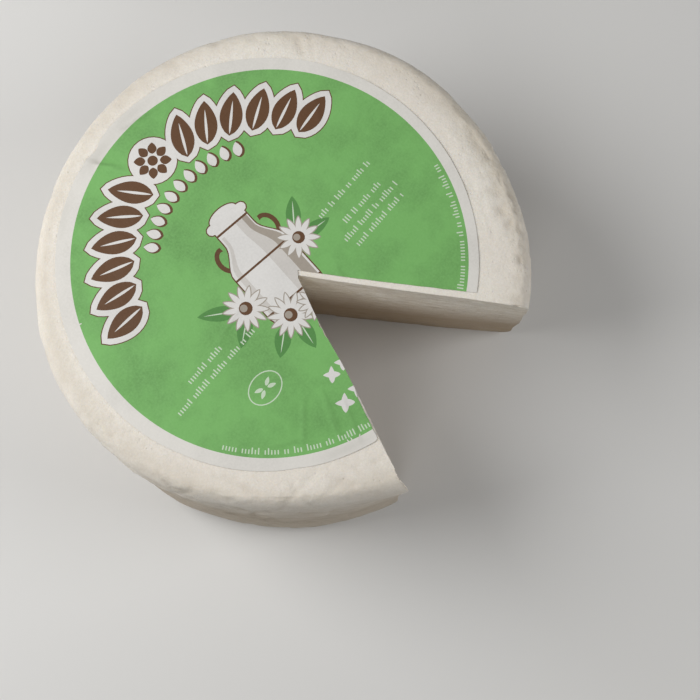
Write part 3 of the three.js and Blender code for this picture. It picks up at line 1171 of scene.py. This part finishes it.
def rind_material():
    """The dried, matte skin of the round: chalky cream with scattered pores and dark specks,
    in level strata, with painted shade that makes it darker and browner down the wall."""
    shader = Shader("rind")
    tone = mottled(shader, *RIND_TONES)
    speck = shader.spread(shader.cells(4.6), 0.1, 0.05, 0.42)
    scarce = shader.spread(shader.noise(13, 2), 0.56, 0.62)
    tone = shader.mix(shader.product(speck, scarce), tone, SPECK_TONE)
    # Painted shade: darker and browner down the wall, from near its top to 0.6 of the height.
    lower = shader.below(0.97, 0.6, 0.62)
    level = shader.noise(2.4, 4, shader.stretched(0.16, 0.16, 1), 0.62)
    strata = shader.product(shader.spread(level, 0.44, 0.66), 0.5)
    tone = shader.mix(shader.product(lower, strata), tone, STRATA_TONE)
    shader.link("Base Color", shader.mix(lower, tone, WALL_SHADE_TONE))
    grain = shader.noise(1.1, 4, rough=0.6)
    pore = shader.spread(shader.cells(1.9), 0.3, 0.08, -0.7)
    some = shader.spread(shader.noise(7, 2), 0.52, 0.64)
    shader.relief(shader.sum(grain, shader.product(pore, some)), 0.3, 0.75)
    shader.roughness(3, 0.76, 0.92)
    shader.set(MILKY)
    return shader.material


def paste_material():
    """The cut cheese: dense and pale, drawn into level streaks by the knife, with painted shade
    that makes it darker and browner below.
    """
    shader = Shader("cut_paste")
    tone = mottled(shader, *PASTE_TONES)
    streaks = shader.noise(1.9, 4, shader.stretched(0.22, 0.22, 1), 0.62)
    tone = shader.mix(shader.spread(streaks, 0.48, 0.7, 0.6), tone, STREAK_TONE)
    # Painted shade: the cut face darkens and browns from 0.78 of its height down to a third of it.
    shader.link("Base Color", shader.mix(shader.below(0.78, 0.33, 0.75), tone, CUT_SHADE_TONE))
    grain = shader.noise(0.9, 4, rough=0.65)
    drawn = shader.noise(1.6, 4, shader.stretched(0.12, 0.12, 1.6))
    shader.relief(shader.sum(grain, shader.product(drawn, 1.6)), 0.2, 0.7)
    shader.roughness(3, 0.72, 0.9)
    shader.set(MILKY)
    return shader.material


def ink_material(name):
    """Paper that carries one ink: slightly uneven in tone, faintly rough with fibres, and greyed
    by painted shade in its dips and along its creases.
    """
    shader = Shader(f"paper_{name}")
    ink = np.array(INK_COLOURS[name])
    dull = ink * (0.88 if name == "green" else 0.96)
    clouds = shader.spread(shader.noise(24, 4, rough=0.62), 0.42, 0.66)
    tone = shader.mix(clouds, tuple(ink), tuple(dull))
    dots = shader.spread(shader.noise(0.9, 2), 0.35, 0.75, 0.5)
    tone = shader.mix(dots, tone, tuple(ink + (8, 7, 8)))
    # Painted shade: the paper greys where it dips at its rim and along its creases.
    painted_shade = shader.product(shader.attribute("painted_shade"), 0.85)
    shader.link("Base Color", shader.mix(painted_shade, tone, tuple(ink * (0.8, 0.8, 0.78))))
    fibres = shader.noise(1.1, 4, shader.stretched(1, 0.5, 1), 0.6)
    soft = shader.product(shader.noise(9), 4)
    shader.relief(shader.sum(fibres, soft), 0.09, 0.6)
    shader.roughness(5, 0.5, 0.68)
    shader.set({"Specular IOR Level": 0.3})
    return shader.material


def floor_material():
    shader = Shader("floor")
    shader.set({"Roughness": 0.8})
    shader.link("Base Color", shader.mix(shader.noise(180), (217, 216, 213), (220, 219, 217)))
    return shader.material


# ---- pieces


def placed(name, mesh, node):
    """Makes a piece that stands for a node of the frame."""
    piece = added(name, mesh)
    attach(piece, "root")
    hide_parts(node)


def cheese_piece():
    mesh = round_skin().closed_mesh("cut_round")
    relieved(mesh)
    mesh.materials.append(rind_material())
    mesh.materials.append(paste_material())
    mesh.shade_smooth()
    placed("cut_round", mesh, "ricotta_round")


# ---- the studio

CAMERA_PLACE = (-70.8, -88.5, 562.9)
CAMERA_TILT, CAMERA_TURN = 9.126, -52.55
CAMERA_LENS = 62.65
FLOOR_SIZE = 12000
# Lamps: name, turn, lift, distance, size, power.
LAMPS = [
    ("key", 119, 45, 760, 570, 5.2),
    ("side", 304, 35, 1000, 500, 3.4),
    ("front", 210, 38, 1000, 400, 1.2),
]
WORLD_LIGHT = 0.06


def camera():
    data = bpy.data.cameras.new("camera")
    data.lens = CAMERA_LENS
    data.clip_start = 10 * MM
    piece = added("camera", data)
    piece.location = Vector(CAMERA_PLACE) * MM
    piece.rotation_euler = (math.radians(CAMERA_TILT), 0, math.radians(CAMERA_TURN))
    bpy.context.scene.camera = piece


def lamp(name, turn, lift, far, size, power):
    """A round softbox that looks at the round from this direction."""
    data = bpy.data.lights.new(name, "AREA")
    data.shape = "DISK"
    data.size = size * MM
    data.energy = power
    level, upright = compass(lift)
    way = Vector((*(compass(turn) * level), upright))
    piece = added(name, data)
    piece.location = (way * far + Vector((0, 0, HEIGHT / 2))) * MM
    piece.rotation_euler = way.to_track_quat("Z", "Y").to_euler()


def floor():
    reach = FLOOR_SIZE / 2 * MM
    corners = [(x * reach, y * reach, 0) for x, y in ((-1, -1), (1, -1), (1, 1), (-1, 1))]
    mesh = bpy.data.meshes.new("floor")
    mesh.from_pydata(corners, [], [(0, 1, 2, 3)])
    mesh.materials.append(floor_material())
    piece = added("floor", mesh)
    piece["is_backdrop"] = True


def studio():
    floor()
    for settings in LAMPS:
        lamp(*settings)
    world = bpy.data.worlds.new("studio")
    world.use_nodes = True
    background = world.node_tree.nodes["Background"]
    background.inputs["Color"].default_value = (1, 1, 1, 1)
    background.inputs["Strength"].default_value = WORLD_LIGHT
    bpy.context.scene.world = world
    bpy.context.scene.view_settings.view_transform = "Standard"


camera()
studio()
cheese_piece()
label_piece()

boxes = {"cad": cad_box, "visual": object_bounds()}
{name: [list(corner) for corner in box] for name, box in boxes.items()}
